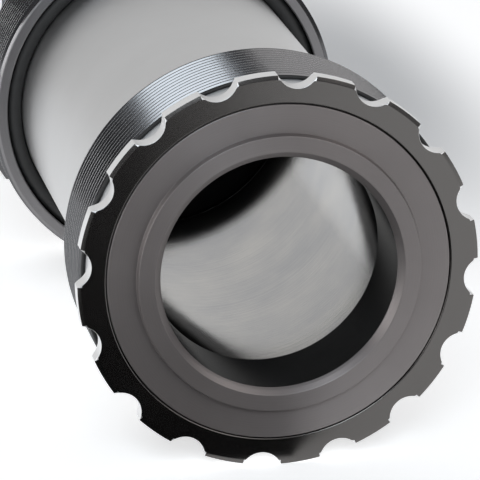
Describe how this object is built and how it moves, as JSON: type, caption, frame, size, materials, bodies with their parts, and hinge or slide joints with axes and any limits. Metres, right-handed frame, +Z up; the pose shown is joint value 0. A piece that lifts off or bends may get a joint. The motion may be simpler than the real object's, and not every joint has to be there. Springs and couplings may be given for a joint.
{
  "type": "bottom bracket",
  "caption": "Threaded bicycle bottom bracket: two notched screw-in cups with sealed bearings and turning dust covers, joined by a smooth centre sleeve.",
  "frame": {"origin": "centre of the assembly on the spindle axis, midway between the two dust covers", "axes": "+Y along the spindle axis from the left cup to the right cup, +Z up, +X across"},
  "size_m": [0.049, 0.0918, 0.049],
  "materials": {
    "cup_black": "black anodised, satin, with bare machined notches",
    "cover_anodised": "dark bronze-grey anodised, fine turned",
    "sleeve_satin": "satin, brushed around",
    "bearing_steel": "ground bearing steel",
    "ball_cage": "pressed brass cage with steel balls",
    "rubber": "black nitrile rubber"
  },
  "bodies": {
    "shell_side": {"centre_sleeve": "sleeve_satin", "left_cup": "cup_black", "left_bearing_outer_race": "bearing_steel", "left_outboard_bearing_seal": "rubber", "left_inboard_bearing_seal": "rubber", "left_shell_o_ring": "rubber", "left_sleeve_seal": "rubber", "left_cover_lip_seal": "rubber", "right_cup": "cup_black", "right_bearing_outer_race": "bearing_steel", "right_outboard_bearing_seal": "rubber", "right_inboard_bearing_seal": "rubber", "right_shell_o_ring": "rubber", "right_sleeve_seal": "rubber", "right_cover_lip_seal": "rubber"},
    "left_rotor": {"left_dust_cover": "cover_anodised", "left_bearing_inner_race": "bearing_steel"},
    "right_rotor": {"right_dust_cover": "cover_anodised", "right_bearing_inner_race": "bearing_steel"},
    "left_balls": {"left_ball_cage": "ball_cage"},
    "right_balls": {"right_ball_cage": "ball_cage"}
  },
  "joints": [
    {"name": "left_cover_spin", "type": "hinge", "parent": "shell_side", "child": "left_rotor", "pos_m": [0, -0.0386, 0], "axis": [0, 1, 0], "continuous": true},
    {"name": "left_balls_orbit", "type": "hinge", "parent": "shell_side", "child": "left_balls", "pos_m": [0, -0.0386, 0], "axis": [0, 1, 0], "continuous": true},
    {"name": "right_cover_spin", "type": "hinge", "parent": "shell_side", "child": "right_rotor", "pos_m": [0, 0.0386, 0], "axis": [0, 1, 0], "continuous": true},
    {"name": "right_balls_orbit", "type": "hinge", "parent": "shell_side", "child": "right_balls", "pos_m": [0, 0.0386, 0], "axis": [0, 1, 0], "continuous": true}
  ],
  "couplings": [
    {"joint": "left_balls_orbit", "follows": "left_cover_spin", "ratio": 0.4556},
    {"joint": "right_balls_orbit", "follows": "right_cover_spin", "ratio": 0.4556}
  ]
}
